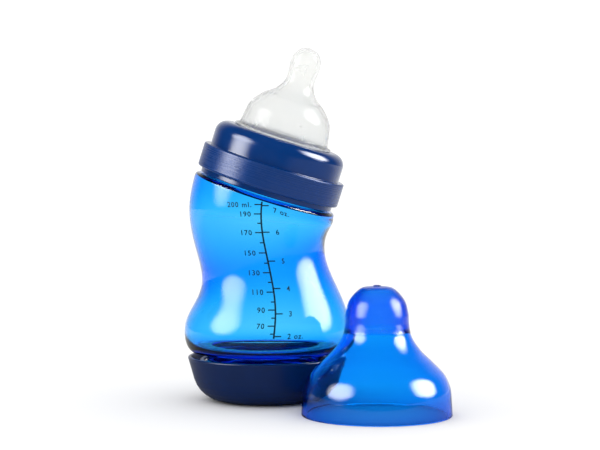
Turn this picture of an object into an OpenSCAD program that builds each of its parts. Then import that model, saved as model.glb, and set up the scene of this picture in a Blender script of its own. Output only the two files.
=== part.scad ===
// Baby bottle: a waisted S-shaped bottle with a leaning neck, a screw-on vented
// base, a screw collar, a soft teat and a dome cap that stands beside it.
// The origin is the middle of the foot. The neck leans towards +X.

/* [Shell] */
// Diameter of the lower bulge
bulge_d = 71.6; // [68:0.2:76]
// Height of the lower bulge's widest ring
bulge_z = 29.4; // [28:0.1:33]
// Distance of the bulge's centre from the foot's centre
bulge_shift = 1; // [0:0.1:2]
// Diameter of the waist
waist_d = 53.8; // [50:0.2:60]
// Height of the waist
waist_z = 58.6; // [56:0.1:62]
// Height where the shell reaches its upper diameter
upper_z = 83; // [78:0.5:85]
// How far the waist leans away from the neck's side, in degrees
waist_lean = 9; // [5:0.1:12]
// Share of its rings' lean that the spine itself follows
spine_sway = 0.83; // [0.6:0.01:1]
// Diameter under the upper shoulder
upper_d = 62.4; // [60:0.2:66]
// Height where the shell takes the neck's lean
lean_z = 87.6; // [85:0.1:92]
// Lean of the neck from upright, in degrees
neck_lean = 17.8; // [10:0.1:20]
// Length of the straight shell above that height
upper_straight = 2; // [1.9:0.1:5]
// Wall of the shell
shell_wall = 1.6; // [1.2:0.1:2]
// Radius of the upper shoulder's edge
shoulder_edge = 1.7; // [0.8:0.1:1.8]
// Diameter of the flat under the shell
underside_d = 61; // [59:0.2:62]
// Height of the flat under the shell
underside_z = 20.9; // [20.2:0.1:22]
// Thickness of the shell's lower shoulder
shoulder_floor = 2.5; // [1.6:0.1:3]

/* [Necks] */
// Root diameter of both screw necks
neck_d = 50.4; // [49.4:0.2:50.8]
// Wall of both necks
neck_wall = 2; // [1.6:0.1:2.6]
// Length of the upper neck above the shoulder
neck_len = 20.2; // [19:0.2:24]
// Room left for the threads between a neck and its screw ring
thread_room = 1.4; // [1:0.1:1.6]

/* [Base] */
// How far the base's rim stands out past its screw ring
rim_reach = 5.3; // [5:0.1:7]
// Height of the base
base_h = 19; // [18.4:0.1:19.8]
// How far the flat foot's edge stays inside the screw bore
foot_inset = 8.3; // [7.6:0.1:9.6]
// Radius of the curve from foot to side
foot_round = 13; // [12.6:0.1:13.6]
// Flare of the base's side from upright, in degrees
base_flare = 16; // [13:0.5:17]
// Wall of the base
base_wall = 1.5; // [1.2:0.1:1.8]
// Wall of the ring that the lower neck screws into
socket_wall = 1.6; // [1.2:0.1:2]
// How far that ring stays below the shell
socket_gap = 3.2; // [2:0.1:5]
// Thickness of the base's floor
floor_t = 1.8; // [1.4:0.1:2.4]
// Height of the ledge that the valve lies on
ledge_z = 5; // [4.8:0.1:6.5]
// How far that ledge reaches in past the neck's bore
ledge_reach = 1.2; // [0.8:0.1:2]
// Number of vent holes
vent_count = 6; // [4:1:8]
// Diameter of a vent hole
vent_d = 2.4; // [1.5:0.1:3]

/* [Valve] */
// Thickness of the valve's flange
valve_flange_t = 2; // [1.5:0.1:2.5]
// Thickness of the valve's skin
valve_skin_t = 1; // [0.8:0.1:1.4]
// Height of the lip that centres the valve in the neck
valve_lip_h = 2; // [1:0.1:4]
// Thickness of that lip
valve_lip_t = 1.6; // [1:0.1:2]
// Rise of the skin's middle above its rim
valve_rise = 3; // [1:0.1:5]
// Diameter of the raised middle
valve_crown_d = 16; // [10:0.5:20]
// Diameter where the skin starts to rise
valve_fold_d = 32; // [26:0.5:38]

/* [Collar] */
// Wall of the upper tier around its screw bore
tier_wall = 2; // [1.8:0.1:2.8]
// Height of the upper tier
tier_h = 11.3; // [10.5:0.1:12.5]
// Radius of the upper tier's edge
tier_edge = 5; // [3.5:0.1:5.4]
// How far the lower band stands out past the upper tier
band_reach = 2.6; // [1.6:0.1:3.4]
// Height of the lower band
band_h = 10.3; // [8:0.1:11.5]
// Radius of the lower band's edges
band_edge = 0.8; // [0.4:0.1:1.2]
// Wall of the skirt under the band
skirt_wall = 2.6; // [1.8:0.1:3.2]
// Thickness of the plate that holds the teat
plate_t = 2.2; // [1.8:0.1:2.6]

/* [Teat] */
// Diameter of the teat's dome
dome_d = 39.6; // [38:0.2:41.6]
// Height of the teat above the collar
teat_h = 39.8; // [37:0.1:43]
// Diameter of the nipple
nipple_d = 13; // [12:0.2:15]
// Wall of the teat
teat_wall = 1.6; // [1.2:0.1:2]
// Thickness of the flange that the collar clamps
teat_flange_t = 2; // [1.6:0.1:2.6]
// How far the bead over the collar reaches past the collar's hole
bead_reach = 1.2; // [0.4:0.1:1.6]
// Height of that bead
bead_h = 1.5; // [1:0.1:2]
// Diameter of the hole in the nipple's tip
milk_hole_d = 0.6; // [0.4:0.1:1]

/* [Cap] */
// Wall of the cap's foot around the bore that grips the collar
cap_foot_wall = 1.8; // [1.4:0.1:2.2]
// Depth of that bore
cap_grip = 7.5; // [5:0.1:8]
// Wall of the cap's bell
cap_wall = 1.3; // [1.1:0.1:1.4]
// Diameter of the cap's dome
cap_dome_d = 25.4; // [24:0.2:27]
// Wall of the cap's dome
cap_dome_wall = 1.9; // [1.5:0.1:2.2]
// Gap between the cap's foot and the base's rim, seen from above: below 0, the rim hangs over the foot
cap_gap = -0.8; // [-1.5:0.1:20]
// Direction in which the cap stands, in degrees from +X to -Y
cap_turn = 32.4; // [0:0.1:90]

/* [Clearances] */
// Radial clearance of the teat in the collar's hole
teat_clear = 0.3; // [0.2:0.05:0.5]
// Clearance between the collar's plate and the teat, below and above it
plate_clear = 0.05; // [0.05:0.05:0.2]
// Radial clearance of the cap on the collar
cap_clear = 0.2; // [0.1:0.05:0.3]
// Space between the teat's tip and the cap
tip_clear = 0.3; // [0.3:0.1:1.5]
// Radial clearance of the flanges in their screw rings
flange_clear = 0.5; // [0.3:0.05:0.8]
// Radial clearance of the valve's lip in the neck
lip_clear = 0.3; // [0.2:0.05:0.5]
// Gap between the upper shoulder and the collar
shoulder_gap = 0.6; // [0.5:0.1:1.2]

/* [Hidden] */
$fn = 96;
// Overlap that makes two solids one
fuse = 0.5;
// Reach of a cut past the face that it opens
past = 1;
// Sides of a shell ring, and rings in the lower and upper half of the shell
ring_sides = 48;
lower_rings = 11;
upper_rings = 11;
// Degrees between the rings round an edge of the shell, and the least radius of its inner edge
edge_step = 15;
least_edge = 0.1;
// Sides of the small holes
hole_sides = 24;
// Slope of the well under the valve, chamfer of the base's rim, width of the gutter inside the rim
well_slope = 2.5;
rim_edge = 0.4;
gutter_w = 1.2;
// Height of the sloping top of the teat's bead
bead_slope = 0.6;
// How the bend above the waist tightens: 1 is even
bend_power = 1.7;

neck_r = neck_d / 2;
bore_r = neck_r - neck_wall;
screw_r = neck_r + thread_room;
flange_r = screw_r - flange_clear;
socket_r = screw_r + socket_wall;
rim_r = socket_r + rim_reach;
tier_r = screw_r + tier_wall;

// Heights at the base, along Z
neck_foot_z = ledge_z + valve_flange_t;
socket_z = underside_z - socket_gap;
foot_r = screw_r - foot_inset;
vent_ring_r = foot_r / 2;
well_r = bore_r - ledge_reach;

// Heights at the upper neck, along its own leaning axis
shoulder_s = upper_straight;
rim_s = shoulder_s + neck_len;
flange_top_s = rim_s + teat_flange_t;
plate_s = flange_top_s + plate_clear;
collar_top_s = plate_s + plate_t;
band_top_s = collar_top_s - tier_h;
band_foot_s = band_top_s - band_h;
skirt_foot_s = shoulder_s + shoulder_gap;

// Cap, from its foot up
cap_bore_r = tier_r + cap_clear;
cap_r = cap_bore_r + cap_foot_wall;
cap_inner_h = tier_h + teat_h + tip_clear;
cap_h = cap_inner_h + cap_wall;
cap_away = rim_r + cap_r + cap_gap;
// Points of the cap's outline where its dome starts and over which the dome's wall thins
dome_from = 24;
dome_taper = 6;

function mix(a, b, t) = a + (b - a) * t;
function ease(t) = (1 - cos(180 * max(0, min(1, t)))) / 2;

// Heights of the rings between the bulge and the leaning neck
ring_zs = [
    for (i = [0 : lower_rings]) mix(bulge_z, waist_z, i / lower_rings),
    for (i = [1 : upper_rings]) mix(waist_z, lean_z, i / upper_rings)
];

// Lean of a ring at a height: upright at the bulge, back at the waist, then forward on a bend
// that tightens up to the neck
function lean_at(z) = z < waist_z
    ? -waist_lean * ease((z - bulge_z) / (waist_z - bulge_z))
    : mix(-waist_lean, neck_lean, pow((z - waist_z) / (lean_z - waist_z), bend_power));

function radius_at(z) = z < waist_z
    ? mix(bulge_d, waist_d, ease((z - bulge_z) / (waist_z - bulge_z))) / 2
    : mix(waist_d, upper_d, ease((z - waist_z) / (upper_z - waist_z))) / 2;

// Sideways place of the spine at ring i, summed up from the leans below it
function spine_x(i) = i == 0 ? bulge_shift : spine_x(i - 1) + spine_sway
    * (ring_zs[i] - ring_zs[i - 1]) * tan((lean_at(ring_zs[i]) + lean_at(ring_zs[i - 1])) / 2);

neck_x = spine_x(len(ring_zs) - 1);

// A ring is its centre's x and z, its lean and its radius.
// Rings of the shell's skin, set in from the outside, between an underside height and a top
// along the leaning axis.
function shell_rings(inset, foot_z, top_s) = let (edge = max(shoulder_edge - inset, least_edge)) [
    for (a = [0 : edge_step : 90 - edge_step]) [
        bulge_shift * sin(a),
        mix(bulge_z, foot_z, cos(a)),
        0,
        mix(underside_d, bulge_d, sin(a)) / 2 - inset
    ],
    for (i = [0 : len(ring_zs) - 1])
        [spine_x(i), ring_zs[i], lean_at(ring_zs[i]), radius_at(ring_zs[i]) - inset],
    for (a = [0 : edge_step : 90])
        let (s = top_s - edge * (1 - sin(a))) [
            neck_x + s * sin(neck_lean),
            lean_z + s * cos(neck_lean),
            neck_lean,
            upper_d / 2 - inset - edge * (1 - cos(a))
        ]
];

function ring_point(ring, a) = [
    ring[0] + ring[3] * cos(a) * cos(ring[2]),
    ring[3] * sin(a),
    ring[1] - ring[3] * cos(a) * sin(ring[2])
];

// One closed skin through a list of rings
module loft(rings) {
    n = ring_sides;
    last = (len(rings) - 1) * n;
    polyhedron(
        points = [for (ring = rings) for (k = [0 : n - 1]) ring_point(ring, 360 * k / n)],
        faces = [
            [for (k = [0 : n - 1]) k],
            for (j = [0 : len(rings) - 2]) for (k = [0 : n - 1])
                let (a = j * n + k, b = j * n + (k + 1) % n) each [[a, a + n, b], [b, a + n, b + n]],
            [for (k = [n - 1 : -1 : 0]) last + k]
        ]
    );
}

// Places what is made along Z on the leaning neck
module on_neck() {
    translate([neck_x, 0, lean_z]) rotate([0, neck_lean, 0]) children();
}

// Points of an arc about [x, y] from angle a to angle b
function arc(x, y, r, a, b, steps = 8) =
    [for (i = [0 : steps]) let (t = mix(a, b, i / steps)) [x + r * cos(t), y + r * sin(t)]];

// Smooth curve through points, with its ends kept
function curve_point(p, i, t) =
    let (
        a = p[max(i - 1, 0)], b = p[i], c = p[i + 1], d = p[min(i + 2, len(p) - 1)]
    )
    (2 * b + (c - a) * t + (2 * a - 5 * b + 4 * c - d) * t * t + (3 * b - a - 3 * c + d) * t * t * t) / 2;
function curve(p, steps = 4) = [
    for (i = [0 : len(p) - 2]) for (k = [0 : steps - 1]) curve_point(p, i, k / steps),
    p[len(p) - 1]
];

// The same curve set in by w, square to itself
function set_in(p, w) = [
    for (i = [0 : len(p) - 1])
        let (along = p[min(i + 1, len(p) - 1)] - p[max(i - 1, 0)])
        p[i] + w * [-along[1], along[0]] / norm(along)
];

// Base: foot, curved side and rim as one cup, with a ring inside that the neck screws into
module base() {
    flare = tan(base_flare);
    // Curve of the corner, then the straight side up to the rim
    corner = arc(foot_r, foot_round, foot_round, -90, -base_flare);
    side_foot = corner[len(corner) - 1];
    // What the rim's diameter asks for beyond the flare is shared out over the height
    spread = (rim_r - side_foot[0] - (base_h - side_foot[1]) * flare) / base_h;
    outer = [for (p = corner) p + [spread * p[1], 0]];
    side_slope = flare + spread;
    lip_r = rim_r - base_wall;
    // Depth at which the side's inner face meets the ring
    gutter = (lip_r - socket_r - gutter_w) / side_slope;
    color("midnightblue") difference() {
        rotate_extrude() difference() {
            polygon(concat(
                [[0, 0]],
                outer,
                [[rim_r, base_h - rim_edge], [rim_r - rim_edge, base_h], [0, base_h]]
            ));
            // Mouth above the ring, and the gutter between the ring and the side
            polygon([
                [0, socket_z],
                [socket_r, socket_z],
                [socket_r, base_h - gutter],
                [socket_r + gutter_w, base_h - gutter],
                [lip_r, base_h],
                [lip_r, base_h + past],
                [0, base_h + past]
            ]);
            // Screw bore, ledge for the valve and the well under it
            polygon([
                [0, floor_t],
                [well_r - well_slope, floor_t],
                [well_r, ledge_z],
                [screw_r, ledge_z],
                [screw_r, base_h],
                [0, base_h]
            ]);
        }
        for (k = [0 : vent_count - 1]) rotate([0, 0, 360 * k / vent_count])
            translate([vent_ring_r, 0, -past]) cylinder(h = ledge_z + past, d = vent_d, $fn = hole_sides);
    }
}

// Valve: soft disc whose flange is clamped between the lower neck and the base's ledge
module valve() {
    lip_r = bore_r - lip_clear;
    inner_r = lip_r - valve_lip_t;
    crown_r = valve_crown_d / 2;
    fold_r = valve_fold_d / 2;
    skin_z = ledge_z + (valve_flange_t - valve_skin_t) / 2;
    color("lightcyan") rotate_extrude() polygon([
        [0, skin_z + valve_rise],
        [crown_r, skin_z + valve_rise],
        [fold_r, skin_z],
        [inner_r, skin_z],
        [inner_r, ledge_z],
        [flange_r, ledge_z],
        [flange_r, neck_foot_z],
        [lip_r, neck_foot_z],
        [lip_r, neck_foot_z + valve_lip_h],
        [inner_r, neck_foot_z + valve_lip_h],
        [inner_r, skin_z + valve_skin_t],
        [fold_r, skin_z + valve_skin_t],
        [crown_r, skin_z + valve_rise + valve_skin_t],
        [0, skin_z + valve_rise + valve_skin_t]
    ]);
}

// Bottle body: one blown skin on an S-shaped spine, with a screw neck at each end
module bottle_body() {
    color("dodgerblue", 0.5) difference() {
        union() {
            loft(shell_rings(0, underside_z, shoulder_s));
            translate([0, 0, neck_foot_z])
                cylinder(h = underside_z + fuse - neck_foot_z, r = neck_r);
            on_neck() translate([0, 0, shoulder_s - fuse])
                cylinder(h = rim_s - shoulder_s + fuse, r = neck_r);
        }
        loft(shell_rings(shell_wall, underside_z + shoulder_floor, shoulder_s - shell_wall));
        translate([0, 0, neck_foot_z - past])
            cylinder(h = underside_z + shoulder_floor + fuse - neck_foot_z + past, r = bore_r);
        on_neck() translate([0, 0, shoulder_s - shell_wall - fuse])
            cylinder(h = neck_len + shell_wall + fuse + past, r = bore_r);
    }
}

// Collar: two-tier screw ring with a plate across the top that pulls the teat down on the neck
module collar() {
    hole_r = dome_d / 2 + teat_clear;
    band_r = tier_r + band_reach;
    skirt_r = screw_r + skirt_wall;
    color("midnightblue") on_neck() rotate_extrude() difference() {
        polygon(concat(
            [[0, skirt_foot_s], [skirt_r, skirt_foot_s], [skirt_r, band_foot_s]],
            arc(band_r - band_edge, band_foot_s + band_edge, band_edge, -90, 0, 3),
            arc(band_r - band_edge, band_top_s - band_edge, band_edge, 0, 90, 3),
            [[tier_r, band_top_s]],
            arc(tier_r - tier_edge, collar_top_s - tier_edge, tier_edge, 0, 90, 9),
            [[0, collar_top_s]]
        ));
        translate([0, skirt_foot_s - past]) square([screw_r, plate_s - skirt_foot_s + past]);
        square([hole_r, collar_top_s + past]);
    }
}

// Outline of the teat above the collar, from the dome's foot to the tip: [radius, height]
function teat_outline() = let (r = dome_d / 2, n = nipple_d / 2, h = teat_h) curve([
    [r, 0],
    [r * 0.975, h * 0.09],
    [r * 0.945, h * 0.18],
    [r * 0.9, h * 0.27],
    [r * 0.785, h * 0.355],
    [mix(n, r, 0.47), h * 0.425],
    [mix(n, r, 0.28), h * 0.47],
    [mix(n, r, 0.1), h * 0.53],
    [n * 0.98, h * 0.6],
    [n * 0.94, h * 0.68],
    [n, h * 0.8],
    [n * 0.94, h * 0.88],
    [n * 0.77, h * 0.94],
    [n * 0.48, h * 0.98],
    [n * 0.18, h * 0.998],
    [0, h]
]);

// Teat: soft dome and nipple, with a flange under the collar's plate and a bead above it
module teat() {
    outer = teat_outline();
    inner = [for (p = set_in(outer, teat_wall)) [max(p[0], 0), p[1]]];
    r = dome_d / 2;
    bead_r = r + teat_clear + bead_reach;
    bead_s = collar_top_s + plate_clear;
    color("aliceblue") on_neck() difference() {
        rotate_extrude() polygon(concat(
            [[r - teat_wall, rim_s], [flange_r, rim_s], [flange_r, flange_top_s], [r, flange_top_s]],
            [[r, bead_s], [bead_r, bead_s], [bead_r, bead_s + bead_h - bead_slope], [r, bead_s + bead_h]],
            [for (i = [2 : len(outer) - 1]) outer[i] + [0, collar_top_s]],
            [for (i = [len(inner) - 1 : -1 : 1]) inner[i] + [0, collar_top_s]]
        ));
        translate([0, 0, collar_top_s + teat_h - 2 * teat_wall])
            cylinder(h = 3 * teat_wall, d = milk_hole_d, $fn = hole_sides);
    }
}

// Outline of the cap above its grip, from the bell's foot to the dome's top: [radius, height]
function cap_outline() = let (r = cap_r, d = cap_dome_d / 2, h = cap_h) curve([
    [cap_bore_r + cap_wall, cap_grip],
    [r * 0.965, h * 0.22],
    [r * 0.89, h * 0.315],
    [r * 0.735, h * 0.41],
    [mix(d, r, 0.28), h * 0.498],
    [mix(d, r, 0.08), h * 0.6],
    [d * 1.02, h * 0.7],
    [d, h * 0.78],
    [d * 0.87, h * 0.885],
    [d * 0.52, h * 0.973],
    [0, h]
]);

// Cap: bell that grips the collar's upper tier, with a thicker dome over the nipple
module cap() {
    outer = cap_outline();
    last = len(outer) - 1;
    // The wall is the bell's up to the dome, the dome's on its side, and thins to its top
    inner = [
        for (i = [0 : last])
            let (w = i < dome_from ? cap_wall : mix(cap_wall, cap_dome_wall, min(1, (last - i) / dome_taper)))
            let (p = set_in(outer, w)[i]) [max(p[0], 0), p[1]]
    ];
    color("royalblue", 0.6) rotate([0, 0, -cap_turn]) translate([cap_away, 0, 0]) difference() {
        rotate_extrude() polygon(concat([[0, 0], [cap_r, 0]], outer));
        rotate_extrude() polygon(concat(
            [[0, -past], [cap_bore_r, -past], [cap_bore_r, cap_grip]],
            [for (i = [1 : last]) inner[i]]
        ));
    }
}

base();
valve();
bottle_body();
collar();
teat();
cap();
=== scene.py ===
import math
import bpy
from mathutils import Matrix, Vector


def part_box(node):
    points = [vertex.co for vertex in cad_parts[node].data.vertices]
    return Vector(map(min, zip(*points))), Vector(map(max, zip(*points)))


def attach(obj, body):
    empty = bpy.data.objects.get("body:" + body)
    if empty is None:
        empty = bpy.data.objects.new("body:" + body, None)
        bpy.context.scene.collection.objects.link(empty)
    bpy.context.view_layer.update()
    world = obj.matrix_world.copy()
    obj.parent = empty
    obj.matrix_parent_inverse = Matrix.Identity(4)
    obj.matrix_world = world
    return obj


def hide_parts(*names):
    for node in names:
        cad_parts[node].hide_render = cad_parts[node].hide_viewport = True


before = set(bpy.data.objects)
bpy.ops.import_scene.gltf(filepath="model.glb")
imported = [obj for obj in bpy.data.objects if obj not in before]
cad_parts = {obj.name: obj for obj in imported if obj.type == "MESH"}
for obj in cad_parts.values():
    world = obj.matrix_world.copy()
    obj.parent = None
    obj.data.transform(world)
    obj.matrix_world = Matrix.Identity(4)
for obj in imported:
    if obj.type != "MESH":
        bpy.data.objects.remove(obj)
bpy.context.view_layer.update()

# ---------------------------------------------------------------------------------------------
# Base
# A deep dish of navy polypropylene, injection moulded in one shot. Its inner ring screws onto
# the bottle's lower neck, and six small holes in its floor let air in under the valve.

# Lengths are in metres. A name ends in z for a height above the table, s for a place along the
# leaning neck, r for a radius, d for a diameter, and h, t or w for a height, thickness or width.
base_rim_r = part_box("base")[1].x
base_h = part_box("base")[1].z
base_flare = math.radians(16)
base_wall = 0.0015
base_foot_round = 0.013
base_rim_round = 0.0006
socket_outer_r, socket_top_z = 0.0282, 0.0177
gutter_w, gutter_z = 0.0012, 0.0099
ledge_z = 0.005
well_r, well_slope, well_round = 0.022, 0.0025, 0.0008
floor_z = 0.0018
vent_count, vent_d, vent_ring_r = 6, 0.0024, 0.00915
drill_h, drill_sides = 0.01, 32
base_navy = (0.001, 0.014, 0.075)

# Small rounds that the moulds leave on edges, from the sharper to the softer
crisp_round, edge_round, soft_round = 0.0003, 0.0004, 0.0005

# The screws: a bore's radius, the rise of one turn, and the ridge that runs round in the bore,
# with a crest two flanks wide
screw_r = 0.0266
screw_lead = 0.004
flank_w = 0.0008
bore_ridge_h = 0.0004
base_ridge_foot_z = ledge_z + 0.004
base_ridge_top_z = socket_top_z - 0.002

# The meshes: the longest step of a screwed outline, the angle from which an edge stays sharp,
# and how near a point has to be to count as on the axis or on a bore
screw_mesh = 0.0004
sharp_from = math.radians(35)
on_axis, on_bore = 1e-7, 1e-5


def rounded(corners, steps=6):
    """Outline through (x, z, radius) corners, with each corner turned into an arc."""
    points = []
    for i, (x, z, radius) in enumerate(corners):
        here = Vector((x, z))
        if radius == 0:
            points.append(here)
            continue
        back = (Vector(corners[i - 1][:2]) - here).normalized()
        ahead = (Vector(corners[(i + 1) % len(corners)][:2]) - here).normalized()
        half = back.angle(ahead) / 2
        centre = here + (back + ahead).normalized() * radius / math.sin(half)
        start = here + back * radius / math.tan(half) - centre
        end = here + ahead * radius / math.tan(half) - centre
        for k in range(steps + 1):
            swept = start.slerp(end, k / steps, start)
            points.append(centre + swept.normalized() * radius)
    return points


def cut_fine(points):
    """The same closed outline, with its long straight stretches cut into short ones."""
    fine = []
    for a, b in zip(points, points[1:] + points[:1]):
        parts = max(1, math.ceil((b - a).length / screw_mesh))
        fine += [a.lerp(b, k / parts) for k in range(parts)]
    return fine


def ridge(angle, along):
    """Height from 0 to 1 of a right-hand screw ridge, at a turn and a place along its axis."""
    off = (along / screw_lead - angle / math.tau) % 1
    off = min(off, 1 - off) * screw_lead
    t = min(max((2 * flank_w - off) / flank_w, 0), 1)
    return t * t * (3 - 2 * t)


def bore_ridge(foot, top):
    """Swell of a screwed bore, whose ridge stands inwards between its foot and its top."""
    def swell(angle, radius, along):
        if abs(radius - screw_r) > on_bore or not foot <= along <= top:
            return 0
        return -bore_ridge_h * ridge(angle, along - screw_lead / 2)
    return swell


def finish_mesh(name, vertices, faces):
    """Piece in the scene, shaded smooth between its sharp edges."""
    mesh = bpy.data.meshes.new(name)
    mesh.from_pydata(vertices, [], faces)
    mesh.validate()
    mesh.shade_smooth()
    mesh.set_sharp_from_angle(angle=sharp_from)
    piece = bpy.data.objects.new(name, mesh)
    bpy.context.scene.collection.objects.link(piece)
    return piece


def turned(name, outline, place=Matrix.Identity(4), sides=160, swell=None):
    """Piece turned from a closed outline of (radius, z) points about its axis, then placed.

    swell(angle, radius, z) adds to the radius there.
    """
    vertices, faces, rows = [], [], []
    for radius, z in outline:
        if radius < on_axis:
            rows.append([len(vertices)] * sides)
            vertices.append(place @ Vector((0, 0, z)))
            continue
        rows.append(range(len(vertices), len(vertices) + sides))
        for k in range(sides):
            angle = math.tau * k / sides
            r = radius + (swell(angle, radius, z) if swell else 0)
            vertices.append(place @ Vector((r * math.cos(angle), r * math.sin(angle), z)))
    for lower, upper in zip(rows, rows[1:] + rows[:1]):
        for k in range(sides):
            corners = [lower[k], lower[(k + 1) % sides], upper[(k + 1) % sides], upper[k]]
            face = list(dict.fromkeys(corners))
            if len(face) > 2:
                faces.append(face)
    return finish_mesh(name, vertices, faces)


def base_outline():
    side_foot_r = base_rim_r - base_h * math.tan(base_flare)
    return cut_fine(rounded([
        (0, 0, 0),
        (side_foot_r, 0, base_foot_round),
        (base_rim_r, base_h, base_rim_round),
        (base_rim_r - base_wall, base_h, edge_round),
        (socket_outer_r + gutter_w, gutter_z, soft_round),
        (socket_outer_r, gutter_z, soft_round),
        (socket_outer_r, socket_top_z, edge_round),
        (screw_r, socket_top_z, edge_round),
        (screw_r, ledge_z, 0),
        (well_r, ledge_z, crisp_round),
        (well_r - well_slope, floor_z, well_round),
        (0, floor_z, 0),
    ]))


base = turned("base_dish", base_outline(), swell=bore_ridge(base_ridge_foot_z, base_ridge_top_z))
for k in range(vent_count):
    angle = math.tau * k / vent_count
    bpy.ops.mesh.primitive_cylinder_add(
        vertices=drill_sides, radius=vent_d / 2, depth=drill_h,
        location=(vent_ring_r * math.cos(angle), vent_ring_r * math.sin(angle), 0))
    drill = bpy.context.object
    cut = base.modifiers.new("vent", "BOOLEAN")
    cut.object = drill
    bpy.context.view_layer.objects.active = base
    bpy.ops.object.modifier_apply(modifier="vent")
    bpy.data.objects.remove(drill)


def add_node(tree, kind, inputs=None, **settings):
    """Adds a node. An input given as a socket is linked, and any other is set."""
    made = tree.nodes.new(kind)
    for key, value in settings.items():
        setattr(made, key, value)
    for key, value in (inputs or {}).items():
        if isinstance(value, bpy.types.NodeSocket):
            tree.links.new(value, made.inputs[key])
        else:
            made.inputs[key].default_value = value
    return made


def maths(tree, operation, *terms, **settings):
    """What a Math node makes of its terms, which are numbers or sockets."""
    return add_node(tree, "ShaderNodeMath", dict(enumerate(terms)),
                    operation=operation, **settings).outputs[0]


def ramp(tree, value, span, onto, shape="LINEAR"):
    """Maps a value's span, as two ends, onto another, and holds it beyond both ends."""
    return add_node(tree, "ShaderNodeMapRange", {
        "Value": value, "From Min": span[0], "From Max": span[1],
        "To Min": onto[0], "To Max": onto[1]}, interpolation_type=shape).outputs[0]


def noise(tree, inputs, **settings):
    """Cloudy values around 0.5, with the given inputs on their node."""
    return add_node(tree, "ShaderNodeTexNoise", inputs, **settings).outputs["Fac"]


def new_group(name, takes, gives):
    """New node group with its named inputs and outputs, each of a kind: Color or Float."""
    group = bpy.data.node_groups.new(name, "ShaderNodeTree")
    for way, sockets in (("INPUT", takes), ("OUTPUT", gives)):
        for socket, kind in sockets.items():
            group.interface.new_socket(socket, in_out=way, socket_type="NodeSocket" + kind)
    given = group.nodes.new("NodeGroupInput").outputs
    put = group.nodes.new("NodeGroupOutput").inputs
    return group, given, put


# Grain of the moulded skin's effects, in waves to the metre, the stretch of the noise that makes
# a smudge or a hairline, the way the hairlines run, and how deep the skin goes
flow_grain, smudge_grain, ripple_grain, hair_grain = 45.0, 130.0, 420.0, 150.0
smudge_span, hair_span = (0.45, 0.75), (0.66, 0.74)
hair_heading, hair_stretch = (0.5, 0.35, 0.8), (1.0, 14.0, 1.0)
skin_depth = 0.0002


def moulded_skin_group():
    """Skin of a moulded part: slow flow in the colour, smudges, faint ripple and hairlines."""
    group, given, put = new_group(
        "moulded_skin",
        {"Colour": "Color", "Flow": "Float", "Roughness": "Float",
         "Smudge": "Float", "Ripple": "Float", "Hairlines": "Float"},
        {"Colour": "Color", "Roughness": "Float", "Height": "Float"})
    place = add_node(group, "ShaderNodeTexCoord").outputs["Object"]

    flow = noise(group, {
        "Vector": place, "Scale": flow_grain, "Detail": 3.0, "Distortion": 1.2})
    flow = maths(group, "MULTIPLY_ADD", maths(group, "SUBTRACT", flow, 0.5), given["Flow"], 1.0)
    colour = add_node(group, "ShaderNodeHueSaturation", {"Value": flow, "Color": given["Colour"]})

    smudge = noise(group, {
        "Vector": place, "Scale": smudge_grain, "Detail": 5.0, "Roughness": 0.6})
    smudge = ramp(group, smudge, smudge_span, (0.0, 1.0))
    rough = maths(group, "MULTIPLY_ADD", smudge, given["Smudge"], given["Roughness"])

    ripple = noise(group, {"Vector": place, "Scale": ripple_grain, "Detail": 2.0})
    ripple = maths(group, "MULTIPLY", ripple, given["Ripple"])
    stretched = add_node(group, "ShaderNodeMapping", {
        "Vector": place, "Rotation": hair_heading, "Scale": hair_stretch})
    hair = noise(group, {"Vector": stretched.outputs[0], "Scale": hair_grain, "Detail": 2.0})
    hair = ramp(group, hair, hair_span, (0.0, -1.0))
    height = maths(group, "MULTIPLY_ADD", hair, given["Hairlines"], ripple)

    group.links.new(colour.outputs[0], put["Colour"])
    group.links.new(rough, put["Roughness"])
    group.links.new(height, put["Height"])
    return group


moulded_skin = moulded_skin_group()


def moulded_plastic(name, colour, plain, flow, roughness, smudge, ripple, hairlines, bump=0.3):
    """Material with the moulded skin. What is plain is set on the shader's own sockets."""
    material = bpy.data.materials.new(name)
    material.use_nodes = True
    tree = material.node_tree
    shader = tree.nodes["Principled BSDF"]
    for socket, value in plain.items():
        shader.inputs[socket].default_value = value
    skin = add_node(tree, "ShaderNodeGroup", {
        "Colour": (*colour, 1), "Flow": flow, "Roughness": roughness,
        "Smudge": smudge, "Ripple": ripple, "Hairlines": hairlines}, node_tree=moulded_skin)
    raised = add_node(tree, "ShaderNodeBump", {
        "Height": skin.outputs["Height"], "Strength": bump, "Distance": skin_depth})
    tree.links.new(skin.outputs["Colour"], shader.inputs["Base Color"])
    tree.links.new(skin.outputs["Roughness"], shader.inputs["Roughness"])
    tree.links.new(raised.outputs[0], shader.inputs["Normal"])
    return material


navy_base = moulded_plastic(
    "navy_polypropylene_base", base_navy, {"Specular IOR Level": 0.3},
    flow=0.5, roughness=0.28, smudge=0.08, ripple=0.25, hairlines=0.1)
base.data.materials.clear()
base.data.materials.append(navy_base)
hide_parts("base")
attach(base, "base")

# ---------------------------------------------------------------------------------------------
# Valve
# A soft disc of deep blue silicone, compression moulded. Its flange is squeezed between the
# bottle's lower neck and the base's ledge, and its domed skin lifts to let air in.

valve_flange_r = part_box("valve")[1].x
valve_flange_t = 0.002
valve_skin_t = 0.001
valve_skin_z = ledge_z + (valve_flange_t - valve_skin_t) / 2
valve_lip_r, valve_lip_t, valve_lip_h = 0.0229, 0.0016, 0.002
valve_inner_r = valve_lip_r - valve_lip_t
valve_rise = 0.003
crown_r, fold_r = 0.008, 0.016
fold_round = 0.002
tight_round = 0.0002
valve_blue = (0.004, 0.07, 1.0)
neck_foot_z = ledge_z + valve_flange_t

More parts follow.
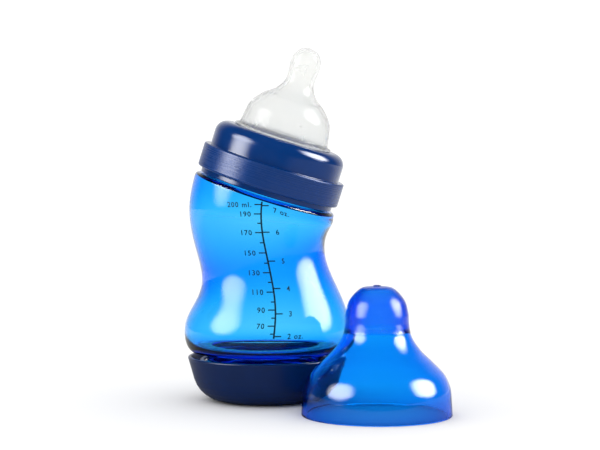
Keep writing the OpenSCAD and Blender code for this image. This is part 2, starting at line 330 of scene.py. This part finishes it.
valve = turned("vent_valve", rounded([
    (0, valve_skin_z + valve_rise, 0),
    (crown_r, valve_skin_z + valve_rise, fold_round),
    (fold_r, valve_skin_z, fold_round),
    (valve_inner_r, valve_skin_z, tight_round),
    (valve_inner_r, ledge_z, tight_round),
    (valve_flange_r, ledge_z, crisp_round),
    (valve_flange_r, neck_foot_z, crisp_round),
    (valve_lip_r, neck_foot_z, crisp_round),
    (valve_lip_r, neck_foot_z + valve_lip_h, soft_round),
    (valve_inner_r, neck_foot_z + valve_lip_h, soft_round),
    (valve_inner_r, valve_skin_z + valve_skin_t, soft_round),
    (fold_r, valve_skin_z + valve_skin_t, fold_round),
    (crown_r, valve_skin_z + valve_rise + valve_skin_t, fold_round),
    (0, valve_skin_z + valve_rise + valve_skin_t, 0),
]))
valve_silicone = moulded_plastic(
    "valve_silicone", valve_blue, {"Transmission Weight": 0.15, "IOR": 1.41},
    flow=0.2, roughness=0.3, smudge=0.12, ripple=0.2, hairlines=0.0)
valve.data.materials.append(valve_silicone)
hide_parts("valve")
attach(valve, "valve")

# ---------------------------------------------------------------------------------------------
# Bottle body
# One skin of clear blue copolyester, blow moulded on a spine that bends like an S, so that the
# waist is easy to grip and the neck leans. Both necks have moulded screw ridges.

# The S: bulge, waist and upper body, the flat underside, the round of the upper shoulder and the
# least that is left of it inside, the foot of the leaning neck, and how the spine goes there
bulge_r, bulge_z, bulge_shift = 0.0358, 0.0294, 0.001
waist_r, waist_z, waist_lean = 0.0269, 0.0586, math.radians(9)
upper_r, upper_z, upper_straight = 0.0312, 0.083, 0.002
underside_r, underside_z = 0.0305, 0.0209
shoulder_edge, least_edge = 0.0017, 0.0001
lean_z, neck_lean = 0.0876, math.radians(17.8)
spine_sway, spine_steps = 0.83, 110
bend_power = 1.7
shell_sides = 192

# Walls: by the necks, where the skin was blown out furthest, at the waist, and of the flat
# underside, and the height within which the upper body's wall goes over to the neck's
shell_wall, blown_wall, waist_wall, underside_wall = 0.0016, 0.0011, 0.0022, 0.0017
wall_blend = 0.011

# Necks: the rounds outside and inside where they leave the body, the bevel of the lower one's
# foot, the rings along the lower, the upper and the bore, and those that carry the ridge
neck_r, bore_r, neck_len = 0.0252, 0.0232, 0.0202
neck_root_round, bore_root_round, neck_bevel = 0.0006, 0.0008, 0.0004
neck_ridge_h = 0.001
lower_steps, upper_steps, bore_steps = 34, 50, 9
lower_screwed, upper_screwed = range(3, 26), range(8, 48)

# The melt: its tint, how much light it takes away with depth, and its look where it is thin
shell_tint, shell_tint_depth = (0.01, 0.79, 0.995), 1250.0
clear_skin = (0.97, 0.99, 1.0)


def mix(a, b, t):
    """The value that lies a share t of the way from a to b."""
    return a + (b - a) * t


def ease(t):
    """From 0 to 1 as t does, with a soft start and end, and held beyond them."""
    return (1 - math.cos(math.pi * min(max(t, 0), 1))) / 2


def lean_at(z):
    """How far the body's rings lean: one way at the waist and the other way at the neck."""
    if z < waist_z:
        return -waist_lean * ease((z - bulge_z) / (waist_z - bulge_z))
    return mix(-waist_lean, neck_lean, ((z - waist_z) / (lean_z - waist_z)) ** bend_power)


def radius_at(z):
    """Outer radius of the body's rings: bulge, waist and upper body."""
    if z < waist_z:
        return mix(bulge_r, waist_r, ease((z - bulge_z) / (waist_z - bulge_z)))
    return mix(waist_r, upper_r, ease((z - waist_z) / (upper_z - waist_z)))


def wall_at(z):
    """Wall of the blown skin: thin at the bulges, thick at the waist, the neck's by the neck."""
    if z < waist_z:
        blown = (radius_at(z) - waist_r) / (bulge_r - waist_r)
    else:
        blown = math.sqrt((radius_at(z) - waist_r) / (upper_r - waist_r))
    by_neck = ease((z - lean_z) / wall_blend + 1)
    return mix(mix(waist_wall, blown_wall, blown), shell_wall, by_neck)


# The spine from the bulge to the leaning neck, as (x, z) points
spine = [(bulge_shift, bulge_z)]
for _ in range(spine_steps):
    x, z = spine[-1]
    dz = (lean_z - bulge_z) / spine_steps
    spine.append((x + spine_sway * dz * math.tan(lean_at(z + dz / 2)), z + dz))
neck_x = spine[-1][0]
neck_place = Matrix.Translation((neck_x, 0, lean_z)) @ Matrix.Rotation(neck_lean, 4, "Y")


def spine_x(z):
    """Sideways place of the spine at a height between the bulge and the leaning neck."""
    at = min(max((z - bulge_z) / (lean_z - bulge_z), 0), 1) * spine_steps
    i = min(int(at), spine_steps - 1)
    return mix(spine[i][0], spine[i + 1][0], at - i)


def level(z, radius, screwed=False, x=0):
    """A level ring: its x, z, lean, radius, whether it is screwed, and its place on the screw."""
    return x, z, 0, radius, screwed, z


def leaning(s, radius, screwed=False):
    """A ring of the leaning neck, given in the same way."""
    x, z = neck_x + s * math.sin(neck_lean), lean_z + s * math.cos(neck_lean)
    return x, z, neck_lean, radius, screwed, s


def skin_rings(inset, foot_z, top_s):
    """Rings of the skin from its flat underside to its upper shoulder: the outside where the
    inset is 0, and otherwise the inside, where the inset is the wall beside the necks."""
    rings = []
    for degrees in range(0, 90, 5):
        t = math.radians(degrees)
        wall = mix(inset, blown_wall, math.sin(t)) if inset else 0
        rings.append(level(mix(bulge_z, foot_z, math.cos(t)),
                           mix(underside_r, bulge_r, math.sin(t)) - wall,
                           x=bulge_shift * math.sin(t)))
    for x, z in spine:
        radius = radius_at(z) - (wall_at(z) if inset else 0)
        rings.append((x, z, lean_at(z), radius, False, z))
    edge = max(shoulder_edge - inset, least_edge)
    for degrees in range(0, 91, 10):
        t = math.radians(degrees)
        rings.append(leaning(top_s - edge * (1 - math.sin(t)),
                             upper_r - inset - edge * (1 - math.cos(t))))
    return rings


def body_rings():
    """All rings of the body in one closed walk: up the outside, over the rim, down the inside."""
    quarter = [math.radians(degrees) for degrees in (0, 30, 60, 90)]
    rim_s = upper_straight + neck_len
    inner_top_s = upper_straight - shell_wall
    inner_floor_z = underside_z + underside_wall

    rings = [level(neck_foot_z, neck_r - neck_bevel)]
    for k in range(lower_steps + 1):
        z = mix(neck_foot_z + neck_bevel, underside_z, k / lower_steps)
        rings.append(level(z, neck_r, k in lower_screwed))
    rings += skin_rings(0, underside_z, upper_straight)
    rings.append(leaning(upper_straight, neck_r + neck_root_round))
    for t in quarter[1:]:
        rings.append(leaning(upper_straight + neck_root_round * (1 - math.cos(t)),
                             neck_r + neck_root_round * (1 - math.sin(t))))
    for k in range(1, upper_steps + 1):
        s = mix(upper_straight + neck_root_round, rim_s - soft_round, k / upper_steps)
        rings.append(leaning(s, neck_r, k in upper_screwed))
    middle_r, half_wall = (neck_r + bore_r) / 2, (neck_r - bore_r) / 2
    for degrees in range(15, 181, 15):
        t = math.radians(degrees)
        rings.append(leaning(rim_s - soft_round + soft_round * math.sin(t),
                             middle_r + half_wall * math.cos(t)))

    for k in range(1, bore_steps + 1):
        s = mix(rim_s - soft_round, inner_top_s + bore_root_round, k / bore_steps)
        rings.append(leaning(s, bore_r))
    for t in quarter[1:]:
        rings.append(leaning(inner_top_s + bore_root_round * (1 - math.sin(t)),
                             bore_r + bore_root_round * (1 - math.cos(t))))
    rings += reversed(skin_rings(shell_wall, inner_floor_z, inner_top_s))
    for t in quarter:
        rings.append(level(inner_floor_z - bore_root_round * (1 - math.cos(t)),
                           bore_r + bore_root_round * (1 - math.sin(t))))
    rings.append(level(neck_foot_z + neck_bevel, bore_r))
    rings.append(level(neck_foot_z, bore_r + neck_bevel))
    return rings


def lofted(name, rings):
    """Piece lofted through a closed walk of rings, with the ridge on the screwed ones."""
    vertices, faces = [], []
    n = shell_sides
    for x, z, lean, radius, screwed, along in rings:
        for k in range(n):
            angle = math.tau * k / n
            r = radius + (neck_ridge_h * ridge(angle, along) if screwed else 0)
            vertices.append((x + r * math.cos(angle) * math.cos(lean), r * math.sin(angle),
                             z - r * math.cos(angle) * math.sin(lean)))
    for j in range(len(rings)):
        low, high = j * n, (j + 1) % len(rings) * n
        faces += [(low + k, low + (k + 1) % n, high + (k + 1) % n, high + k) for k in range(n)]
    return finish_mesh(name, vertices, faces)


def clear_plastic(name, tint, tint_depth, roughness, ior):
    """Clear tinted plastic: polished faces around a melt that takes light away with depth."""
    material = moulded_plastic(
        name, clear_skin, {"Transmission Weight": 1.0, "IOR": ior},
        flow=0.04, roughness=roughness, smudge=0.05, ripple=0.3, hairlines=0.1, bump=0.15)
    tree = material.node_tree
    melt = add_node(tree, "ShaderNodeVolumeAbsorption", {
        "Color": (*tint, 1), "Density": tint_depth})
    tree.links.new(melt.outputs[0], tree.nodes["Material Output"].inputs["Volume"])
    return material


body = lofted("bottle_shell", body_rings())
body.data.materials.append(clear_plastic(
    "clear_blue_copolyester", shell_tint, shell_tint_depth, roughness=0.02, ior=1.34))
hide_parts("bottle_body")
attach(body, "bottle_body")

# ---------------------------------------------------------------------------------------------
# Printed scale
# Dark ink, pad printed on the outside of the body: a line down the front, with marks in ml on
# its left and in ounces on its right. It is too thin to feel, and turns with the body.

# Heights of the marks as (ml, z), the line's turn from the cap's side as (z, degrees), and the
# steps up and down over which that turn is smoothed
scale_marks = [(60, 0.0319), (100, 0.0447), (140, 0.0604), (170, 0.0732), (200, 0.0848)]
line_turns = [(0.030, -74), (0.044, -71.2), (0.060, -72.8), (0.073, -76.2), (0.088, -79)]
turn_smoothing = [0.002 * k for k in range(-3, 4)]
lowest_ml, top_ml, ml_step = 60, 200, 10
lowest_oz, top_oz, ml_per_oz = 2, 7, 28.4
ink_out = 0.00003
skin_fits = 12
ink = (0.001, 0.016, 0.03)
line_w, line_foot_z, line_step, line_steps = 0.0007, 0.0300, 0.001, 57
mark_w, long_mark, short_mark = 0.00048, 0.003, 0.0017

# Figures: their height, the font's size for it, how much bolder and wider set they are than the
# font, the steps of its curves, and how far the figures stand off the marks
figure_h = 0.0021
font_size, font_bold, font_spread, font_steps = figure_h * 1.4, 0.00005, 1.2, 3
ml_gap, oz_gap = 0.0013, 0.0026

# The topmost words run down along the edge of the leaning shoulder: their gap, drop and slope
top_words_gap, top_words_drop, top_words_fall = 0.002, 0.0017, 0.29


def between(points, at):
    """Value at a place on a broken line through (place, value) points; its ends run on."""
    for (a, va), (b, vb) in zip(points, points[1:]):
        if at <= b or b == points[-1][0]:
            return mix(va, vb, (at - a) / (b - a))


def line_turn(z):
    """Turn of the scale's line at a height."""
    turns = [between(line_turns, z + off) for off in turn_smoothing]
    return math.radians(sum(turns) / len(turns))


def on_skin(height, across):
    """Place just outside the body's skin, at a height and a way across from the line. The ring
    through it leans, so the height of that ring's middle is found step by step."""
    z = height
    for _ in range(skin_fits):
        lean, radius = lean_at(z), radius_at(z) + ink_out
        angle = line_turn(z) + across / radius
        z = min(height + radius * math.cos(angle) * math.sin(lean), lean_z)
    return spine_x(z) + radius * math.cos(angle) * math.cos(lean), radius * math.sin(angle), height


ink_points, ink_faces = [], []


def print_strip(path, width):
    """Prints a strip of ink along a path of (across, height) points."""
    for (xa, ha), (xb, hb) in zip(path, path[1:]):
        side = Vector((hb - ha, xa - xb)).normalized() * width / 2
        corner = len(ink_points)
        for x, h, to in ((xa, ha, 1), (xb, hb, 1), (xb, hb, -1), (xa, ha, -1)):
            ink_points.append(on_skin(h + to * side.y, x + to * side.x))
        ink_faces.append(range(corner, corner + 4))


def print_text(text, across, height, align, fall=0):
    """Prints figures with their middle at a height and one end at a way across. A fall is how
    steeply they run down."""
    slant = spine_sway * math.tan(lean_at(height))
    letters = bpy.data.curves.new("figures", "FONT")
    letters.body, letters.align_x = text, align
    letters.size, letters.offset = font_size, font_bold
    letters.space_character, letters.resolution_u = font_spread, font_steps
    written = bpy.data.objects.new("figures", letters)
    shape = bpy.data.meshes.new_from_object(written)
    corner = len(ink_points)
    for v in shape.vertices:
        up = v.co.y - figure_h / 2
        out = across + v.co.x
        ink_points.append(on_skin(height + up - fall * v.co.x, out - up * slant))
    ink_faces.extend([corner + v for v in face.vertices] for face in shape.polygons)
    bpy.data.objects.remove(written)
    bpy.data.meshes.remove(shape)
    bpy.data.curves.remove(letters)


print_strip([(0, line_foot_z + line_step * k) for k in range(line_steps)], line_w)
for ml in range(lowest_ml, top_ml + 1, ml_step):
    height = between(scale_marks, ml)
    # Every second mark from the lowest but one up is long and has its figures, and so has the top
    figured = (ml - lowest_ml) // ml_step % 2 == 1 or ml == top_ml
    print_strip([(-(long_mark if figured else short_mark), height), (0, height)], mark_w)
    if figured:
        figures = f"{ml} ml." if ml == top_ml else str(ml)
        print_text(figures, -long_mark - ml_gap, height, "RIGHT")
for oz in range(lowest_oz, top_oz + 1):
    height = between(scale_marks, oz * ml_per_oz)
    print_strip([(0, height), (long_mark, height)], mark_w)
    if oz < top_oz:
        figures = f"{oz} oz." if oz == lowest_oz else str(oz)
        print_text(figures, long_mark + oz_gap, height, "LEFT")
    else:
        print_text(f"{oz} oz.", long_mark + top_words_gap, height - top_words_drop, "LEFT",
                   top_words_fall)
scale = finish_mesh("printed_scale", ink_points, ink_faces)
scale_ink = moulded_plastic(
    "scale_ink", ink, {"Specular IOR Level": 0.2},
    flow=0.3, roughness=0.5, smudge=0.1, ripple=0.3, hairlines=0.2)
scale.data.materials.append(scale_ink)
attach(scale, "bottle_body")

# ---------------------------------------------------------------------------------------------
# Teat
# Clear liquid silicone rubber, moulded in one shot and pulled up through the collar from below.
# A flange under the collar's plate seals it on the neck, and a bead above keeps it in the hole.

rim_s = upper_straight + neck_len
teat_flange_t, flange_r = 0.002, 0.0261
flange_top_s = rim_s + teat_flange_t
plate_clear, plate_t = 0.00005, 0.0022
plate_s = flange_top_s + plate_clear
collar_top_s = plate_s + plate_t
dome_r, nipple_r, teat_h = 0.0198, 0.0065, 0.0398
teat_wall, teat_clear = 0.0016, 0.0003
bead_reach, bead_h, bead_slope = 0.0012, 0.0015, 0.0006
teat_curve_steps, curve_join = 8, 0.0004
silicone_clear = (0.995, 1.0, 0.985)


def smooth_curve(points, steps):
    """Smooth curve through (radius, z) points, with its ends kept."""
    p = [Vector(q) for q in points]
    curve = []
    for i in range(len(p) - 1):
        a, b, c, d = p[max(i - 1, 0)], p[i], p[i + 1], p[min(i + 2, len(p) - 1)]
        for k in range(steps):
            t = k / steps
            curve.append((2 * b + (c - a) * t + (2 * a - 5 * b + 4 * c - d) * t * t
                          + (3 * b - a - 3 * c + d) * t * t * t) / 2)
    return curve + [p[-1]]


def set_in(points, walls):
    """The same curve set in square to itself, by one wall for each point."""
    inner = []
    for i, (point, wall) in enumerate(zip(points, walls)):
        along = (points[min(i + 1, len(points) - 1)] - points[max(i - 1, 0)]).normalized()
        moved = point + Vector((-along.y, along.x)) * wall
        inner.append(Vector((max(moved.x, 0), moved.y)))
    inner[-1].x = 0
    return inner


def teat_outline():
    # The dome swells from the collar's top, and the nipple has a slight neck below its tip
    outer = smooth_curve([
        (dome_r, 0),
        (dome_r * 0.975, teat_h * 0.09),
        (dome_r * 0.945, teat_h * 0.18),
        (dome_r * 0.9, teat_h * 0.27),
        (dome_r * 0.785, teat_h * 0.355),
        (mix(nipple_r, dome_r, 0.47), teat_h * 0.425),
        (mix(nipple_r, dome_r, 0.28), teat_h * 0.47),
        (mix(nipple_r, dome_r, 0.1), teat_h * 0.53),
        (nipple_r * 0.98, teat_h * 0.6),
        (nipple_r * 0.94, teat_h * 0.68),
        (nipple_r, teat_h * 0.8),
        (nipple_r * 0.94, teat_h * 0.88),
        (nipple_r * 0.77, teat_h * 0.94),
        (nipple_r * 0.48, teat_h * 0.98),
        (nipple_r * 0.18, teat_h * 0.998),
        (0, teat_h),
    ], teat_curve_steps)
    inner = set_in(outer, [teat_wall] * len(outer))
    bead_r = dome_r + teat_clear + bead_reach
    bead_s = collar_top_s + plate_clear
    foot = rounded([
        (dome_r - teat_wall, rim_s, edge_round),
        (flange_r, rim_s, crisp_round),
        (flange_r, flange_top_s, crisp_round),
        (dome_r, flange_top_s, 0),
        (dome_r, bead_s, 0),
        (bead_r, bead_s, edge_round),
        (bead_r, bead_s + bead_h - bead_slope, crisp_round),
        (dome_r, bead_s + bead_h, 0),
    ])
    # The dome stands on the collar's top, and joins the foot just above the bead and the plate
    up = Vector((0, collar_top_s))
    outside = [p + up for p in outer if p.y > bead_h + curve_join]
    inside = [p + up for p in reversed(inner) if p.y > curve_join]
    return foot + outside + inside


teat = turned("teat_rubber", teat_outline(), neck_place)
clear_silicone = moulded_plastic(
    "clear_silicone", silicone_clear, {"Transmission Weight": 0.84, "IOR": 1.22},
    flow=0.02, roughness=0.2, smudge=0.1, ripple=0.2, hairlines=0.0)
teat.data.materials.append(clear_silicone)
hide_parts("teat")
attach(teat, "teat")

# ---------------------------------------------------------------------------------------------
# Collar
# Two-tier screw ring of navy polypropylene, injection moulded. Fine lines run round its lower
# band, its plain upper tier carries the cap, and its top plate clamps the teat on the neck.

tier_r, tier_h, tier_edge = 0.0286, 0.0113, 0.005
band_r, band_h, band_edge = 0.0312, 0.0103, 0.0008
band_top_s = collar_top_s - tier_h
band_foot_s = band_top_s - band_h
skirt_r, skirt_foot_s = 0.0292, upper_straight + neck_root_round
collar_ridge_end = 0.001
collar_corner_steps, collar_sides = 8, 192
collar_navy = (0.0003, 0.032, 0.165)
lines_from_r, line_grain = band_r - 0.0003, 2600.0


def collar_outline():
    hole_r = dome_r + teat_clear
    return cut_fine(rounded([
        (screw_r, skirt_foot_s, crisp_round),
        (skirt_r, skirt_foot_s, edge_round),
        (skirt_r, band_foot_s, tight_round),
        (band_r, band_foot_s, band_edge),
        (band_r, band_top_s, band_edge),
        (tier_r, band_top_s, crisp_round),
        (tier_r, collar_top_s, tier_edge),
        (hole_r, collar_top_s, crisp_round),
        (hole_r, plate_s, crisp_round),
        (screw_r, plate_s, crisp_round),
    ], collar_corner_steps))


collar = turned("screw_collar", collar_outline(), neck_place, collar_sides,
                bore_ridge(skirt_foot_s + collar_ridge_end, rim_s - collar_ridge_end))
navy_collar = moulded_plastic(
    "navy_polypropylene_collar", collar_navy, {"Specular IOR Level": 0.4},
    flow=0.3, roughness=0.12, smudge=0.1, ripple=0.2, hairlines=0.1)
collar.data.materials.append(navy_collar)


def turning_lines_group():
    """Fine lines round a band, from 0 to 1, by the distance along its axis and away from it."""
    group, given, put = new_group(
        "turning_lines", {"Along": "Float", "Away": "Float", "Band radius": "Float"},
        {"Height": "Float"})
    lines = noise(group, {"W": given["Along"], "Scale": line_grain, "Detail": 2.0},
                  noise_dimensions="1D")
    band = maths(group, "GREATER_THAN", given["Away"], given["Band radius"])
    group.links.new(maths(group, "MULTIPLY", lines, band), put["Height"])
    return group


# The lines go by the collar's own axis, so its leaning place is stood upright first. They are
# cut into the skin that is there, and make it a little more matt.
turning_depth, turning_bump, turning_matt = 0.00012, 0.35, 0.3
tree = navy_collar.node_tree
shader = tree.nodes["Principled BSDF"]
upright = neck_place.inverted()
place = add_node(tree, "ShaderNodeMapping", {
    "Vector": add_node(tree, "ShaderNodeTexCoord").outputs["Object"],
    "Location": upright.to_translation(), "Rotation": upright.to_euler()})
parts = add_node(tree, "ShaderNodeSeparateXYZ", {0: place.outputs[0]})
flat = add_node(tree, "ShaderNodeCombineXYZ", {"X": parts.outputs["X"], "Y": parts.outputs["Y"]})
away = add_node(tree, "ShaderNodeVectorMath", {0: flat.outputs[0]}, operation="LENGTH")
lines = add_node(tree, "ShaderNodeGroup", {
    "Along": parts.outputs["Z"], "Away": away.outputs["Value"],
    "Band radius": lines_from_r}, node_tree=turning_lines_group())
cut = add_node(tree, "ShaderNodeBump", {
    "Height": lines.outputs["Height"], "Normal": shader.inputs["Normal"].links[0].from_socket,
    "Strength": turning_bump, "Distance": turning_depth})
tree.links.new(cut.outputs[0], shader.inputs["Normal"])
satin = maths(tree, "MULTIPLY_ADD", lines.outputs["Height"], turning_matt,
              shader.inputs["Roughness"].links[0].from_socket)
tree.links.new(satin, shader.inputs["Roughness"])
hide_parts("collar")
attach(collar, "collar")

# ---------------------------------------------------------------------------------------------
# Cap
# Clear blue styrene bell, injection moulded, with a thicker dome over the nipple. It grips the
# collar's upper tier when it is on, and here it stands on its open rim beside the bottle.

cap_low, cap_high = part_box("cap")
cap_centre = (cap_low + cap_high) / 2
cap_r = (cap_high.x - cap_low.x) / 2
cap_h = cap_high.z
cap_grip, cap_bore_r = 0.0075, 0.0288
cap_wall = 0.0013
cap_dome_r, cap_dome_wall, cap_dome_blend = 0.0127, 0.002, 0.002
cap_crown_from = 0.86
cap_ring_z, cap_ring_proud, cap_ring_half = 0.0338, 0.00012, 0.0006
gate_r, gate_h, gate_crown, gate_fall = 0.0016, 0.0005, 0.8, 0.0001
cap_curve_steps, cap_sides = 10, 192
cap_tint, cap_tint_depth = (0.004, 0.815, 0.998), 2400.0


def ring_line(z):
    """From 0 to 1 at the low ridge where the cap's thicker dome begins."""
    return ease(1 - abs(z - cap_ring_z) / cap_ring_half)


def cap_wall_at(z):
    """The bell's wall up to the ring line, the dome's above it, and the bell's at the crown."""
    dome = ease((z - cap_ring_z) / cap_dome_blend)
    crown = ease((z / cap_h - cap_crown_from) / (1 - cap_crown_from))
    return mix(mix(cap_wall, cap_dome_wall, dome), cap_wall, crown)


def cap_outline():
    # The bell draws in above its grip, and the dome stands on it like a thimble
    outer = smooth_curve([
        (cap_bore_r + cap_wall, cap_grip),
        (cap_r * 0.965, cap_h * 0.22),
        (cap_r * 0.89, cap_h * 0.315),
        (cap_r * 0.735, cap_h * 0.41),
        (mix(cap_dome_r, cap_r, 0.28), cap_h * 0.498),
        (mix(cap_dome_r, cap_r, 0.08), cap_h * 0.6),
        (cap_dome_r * 1.02, cap_h * 0.7),
        (cap_dome_r, cap_h * 0.78),
        (cap_dome_r * 0.87, cap_h * 0.885),
        (cap_dome_r * 0.52, cap_h * 0.973),
        (gate_r, cap_h - gate_h),
    ], cap_curve_steps)
    # The mould's gate leaves a small flat pip on the crown
    outer += [Vector((gate_r * gate_crown, cap_h - gate_fall)), Vector((0, cap_h))]
    outer = [p + Vector((cap_ring_proud * ring_line(p.y), 0)) for p in outer]
    inner = set_in(outer, [cap_wall_at(p.y) for p in outer])
    foot = rounded([
        (cap_bore_r, 0, crisp_round),
        (cap_r, 0, edge_round),
        (cap_bore_r + cap_wall, cap_grip, 0),
    ])
    above_bore = [p for p in reversed(inner) if p.y > cap_grip + curve_join]
    return foot[:-1] + outer + above_bore + [Vector((cap_bore_r, cap_grip))]


cap = turned("dome_cap", cap_outline(), Matrix.Translation((cap_centre.x, cap_centre.y, 0)),
             cap_sides)
clear_blue_styrene = clear_plastic(
    "clear_blue_styrene", cap_tint, cap_tint_depth, roughness=0.03, ior=1.45)
cap.data.materials.append(clear_blue_styrene)

# The dome of the mould was blasted, so the cap is more matt above its ring line
blasted_matt, blasted_blend = 0.2, 0.001
tree = clear_blue_styrene.node_tree
shader = tree.nodes["Principled BSDF"]
place = add_node(tree, "ShaderNodeSeparateXYZ", {
    0: add_node(tree, "ShaderNodeTexCoord").outputs["Object"]})
blasted = ramp(tree, place.outputs["Z"], (cap_ring_z, cap_ring_z + blasted_blend),
               (0.0, blasted_matt))
matt = maths(tree, "ADD", blasted, shader.inputs["Roughness"].links[0].from_socket)
tree.links.new(matt, shader.inputs["Roughness"])
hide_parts("cap")
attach(cap, "cap")

# ---------------------------------------------------------------------------------------------
# Studio
# A table of white paper in a white room. What shines sees a dimmer studio, with a soft box on
# each side and light behind the bottle, and sees the paper with painted shade by and in front of
# it.

camera_turn, camera_pitch = math.radians(11), math.radians(2.11)
camera_distance, camera_side, camera_height = 0.688, 0.0149, 0.1006
camera_lens = 96
camera_data = bpy.data.cameras.new("camera")
camera_data.lens = camera_lens
camera = bpy.data.objects.new("camera", camera_data)
bpy.context.scene.collection.objects.link(camera)
toward = Vector((math.sin(camera_turn), -math.cos(camera_turn), 0))
right = Vector((math.cos(camera_turn), math.sin(camera_turn), 0))
camera.location = (
    toward * camera_distance + right * camera_side + Vector((0, 0, camera_height)))
camera.rotation_euler = (math.pi / 2 - camera_pitch, 0, camera_turn)
bpy.context.scene.camera = camera

bpy.ops.mesh.primitive_plane_add(size=6)
floor = bpy.context.object
floor.name = "floor"
white_paper = bpy.data.materials.new("white_paper")
white_paper.use_nodes = True
paper = white_paper.node_tree.nodes["Principled BSDF"]
paper.inputs["Roughness"].default_value = 1.0
paper.inputs["Specular IOR Level"].default_value = 0.0
floor.data.materials.append(white_paper)


def shines_only(tree):
    """1 for a ray that bounced off a shine, and 0 for one that came through something clear."""
    path = add_node(tree, "ShaderNodeLightPath")
    return maths(tree, "SUBTRACT", path.outputs["Is Glossy Ray"],
                 path.outputs["Is Transmission Ray"], use_clamp=True)


# In what shines the paper's colour carries painted shade: a painted shadow dims it by the bottle,
# it is brighter a little away from it, painted dark far in front of it, and painted light again
# behind it. Each has its stretch of paper and its painted brightness at both ends.
near_span, near_light = (0.05, 0.11), (0.25, 0.45)
front_span, front_light = (0.25, 0.6), (1.0, 0.1)
back_span, back_light = (-0.3, -0.05), (0.45, 0.0)
paper_white = (0.9, 0.9, 0.9, 1)
tree = white_paper.node_tree
spot = add_node(tree, "ShaderNodeTexCoord").outputs["Object"]
away = add_node(tree, "ShaderNodeVectorMath", {0: spot}, operation="LENGTH").outputs["Value"]
ahead = add_node(tree, "ShaderNodeVectorMath", {
    0: spot, 1: toward}, operation="DOT_PRODUCT").outputs["Value"]
near = ramp(tree, away, near_span, near_light, "SMOOTHSTEP")
front = ramp(tree, ahead, front_span, front_light, "SMOOTHSTEP")
back = ramp(tree, ahead, back_span, back_light, "SMOOTHSTEP")
painted_reflection_shade = maths(tree, "MULTIPLY_ADD", near, front, back)
# Painted shade: in reflections only, the white paper's colour is swapped for the painted shade
# above
paper_with_painted_shade = add_node(tree, "ShaderNodeMix", {
    "Factor": shines_only(tree), 6: paper_white, 7: painted_reflection_shade}, data_type="RGBA")
tree.links.new(paper_with_painted_shade.outputs[2], paper.inputs["Base Color"])

# The soft boxes as seen from the bottle: turn from the camera's side, height angle and half
# width in degrees, and brightness. Each fades out at so many of its half widths.
soft_boxes = ((-66, 24, 19, 17.0), (86, 27, 19, 26.0))
box_fade = 1.45

# The room's brightness in what shines, at the sides and behind the bottle, and the stretch
# between the two, as the cosine from straight behind. Then as it is seen, and as it lights.
room_dim, room_behind, behind_span = 0.04, 0.9, (0.45, 0.97)
room_seen, room_light = 1.12, 1.25

world = bpy.data.worlds.new("room")
world.use_nodes = True
tree = world.node_tree
direction = add_node(tree, "ShaderNodeTexCoord").outputs["Generated"]
behind = add_node(tree, "ShaderNodeVectorMath", {
    0: direction, 1: -toward}, operation="DOT_PRODUCT").outputs["Value"]
shine = ramp(tree, behind, behind_span, (room_dim, room_behind), "SMOOTHSTEP")
for turn, rise, half, bright in soft_boxes:
    angle = camera_turn + math.radians(turn) - math.pi / 2
    rise, half = math.radians(rise), math.radians(half)
    box = Vector((math.cos(rise) * math.cos(angle), math.cos(rise) * math.sin(angle),
                  math.sin(rise)))
    facing = add_node(tree, "ShaderNodeVectorMath", {
        0: direction, 1: box}, operation="DOT_PRODUCT").outputs["Value"]
    glow = ramp(tree, facing, (math.cos(half * box_fade), 1.0), (0.0, bright), "SMOOTHERSTEP")
    shine = maths(tree, "ADD", glow, shine)
path = add_node(tree, "ShaderNodeLightPath")
plain = add_node(tree, "ShaderNodeMix", {
    "Factor": path.outputs["Is Diffuse Ray"], "A": room_seen, "B": room_light},
    data_type="FLOAT")
room = add_node(tree, "ShaderNodeMix", {
    "Factor": shines_only(tree), "A": plain.outputs["Result"], "B": shine}, data_type="FLOAT")
background = tree.nodes["Background"].inputs
tree.links.new(room.outputs["Result"], background["Strength"])
background["Color"].default_value = (1, 1, 1, 1)
bpy.context.scene.world = world
bpy.context.scene.view_settings.view_transform = "Standard"
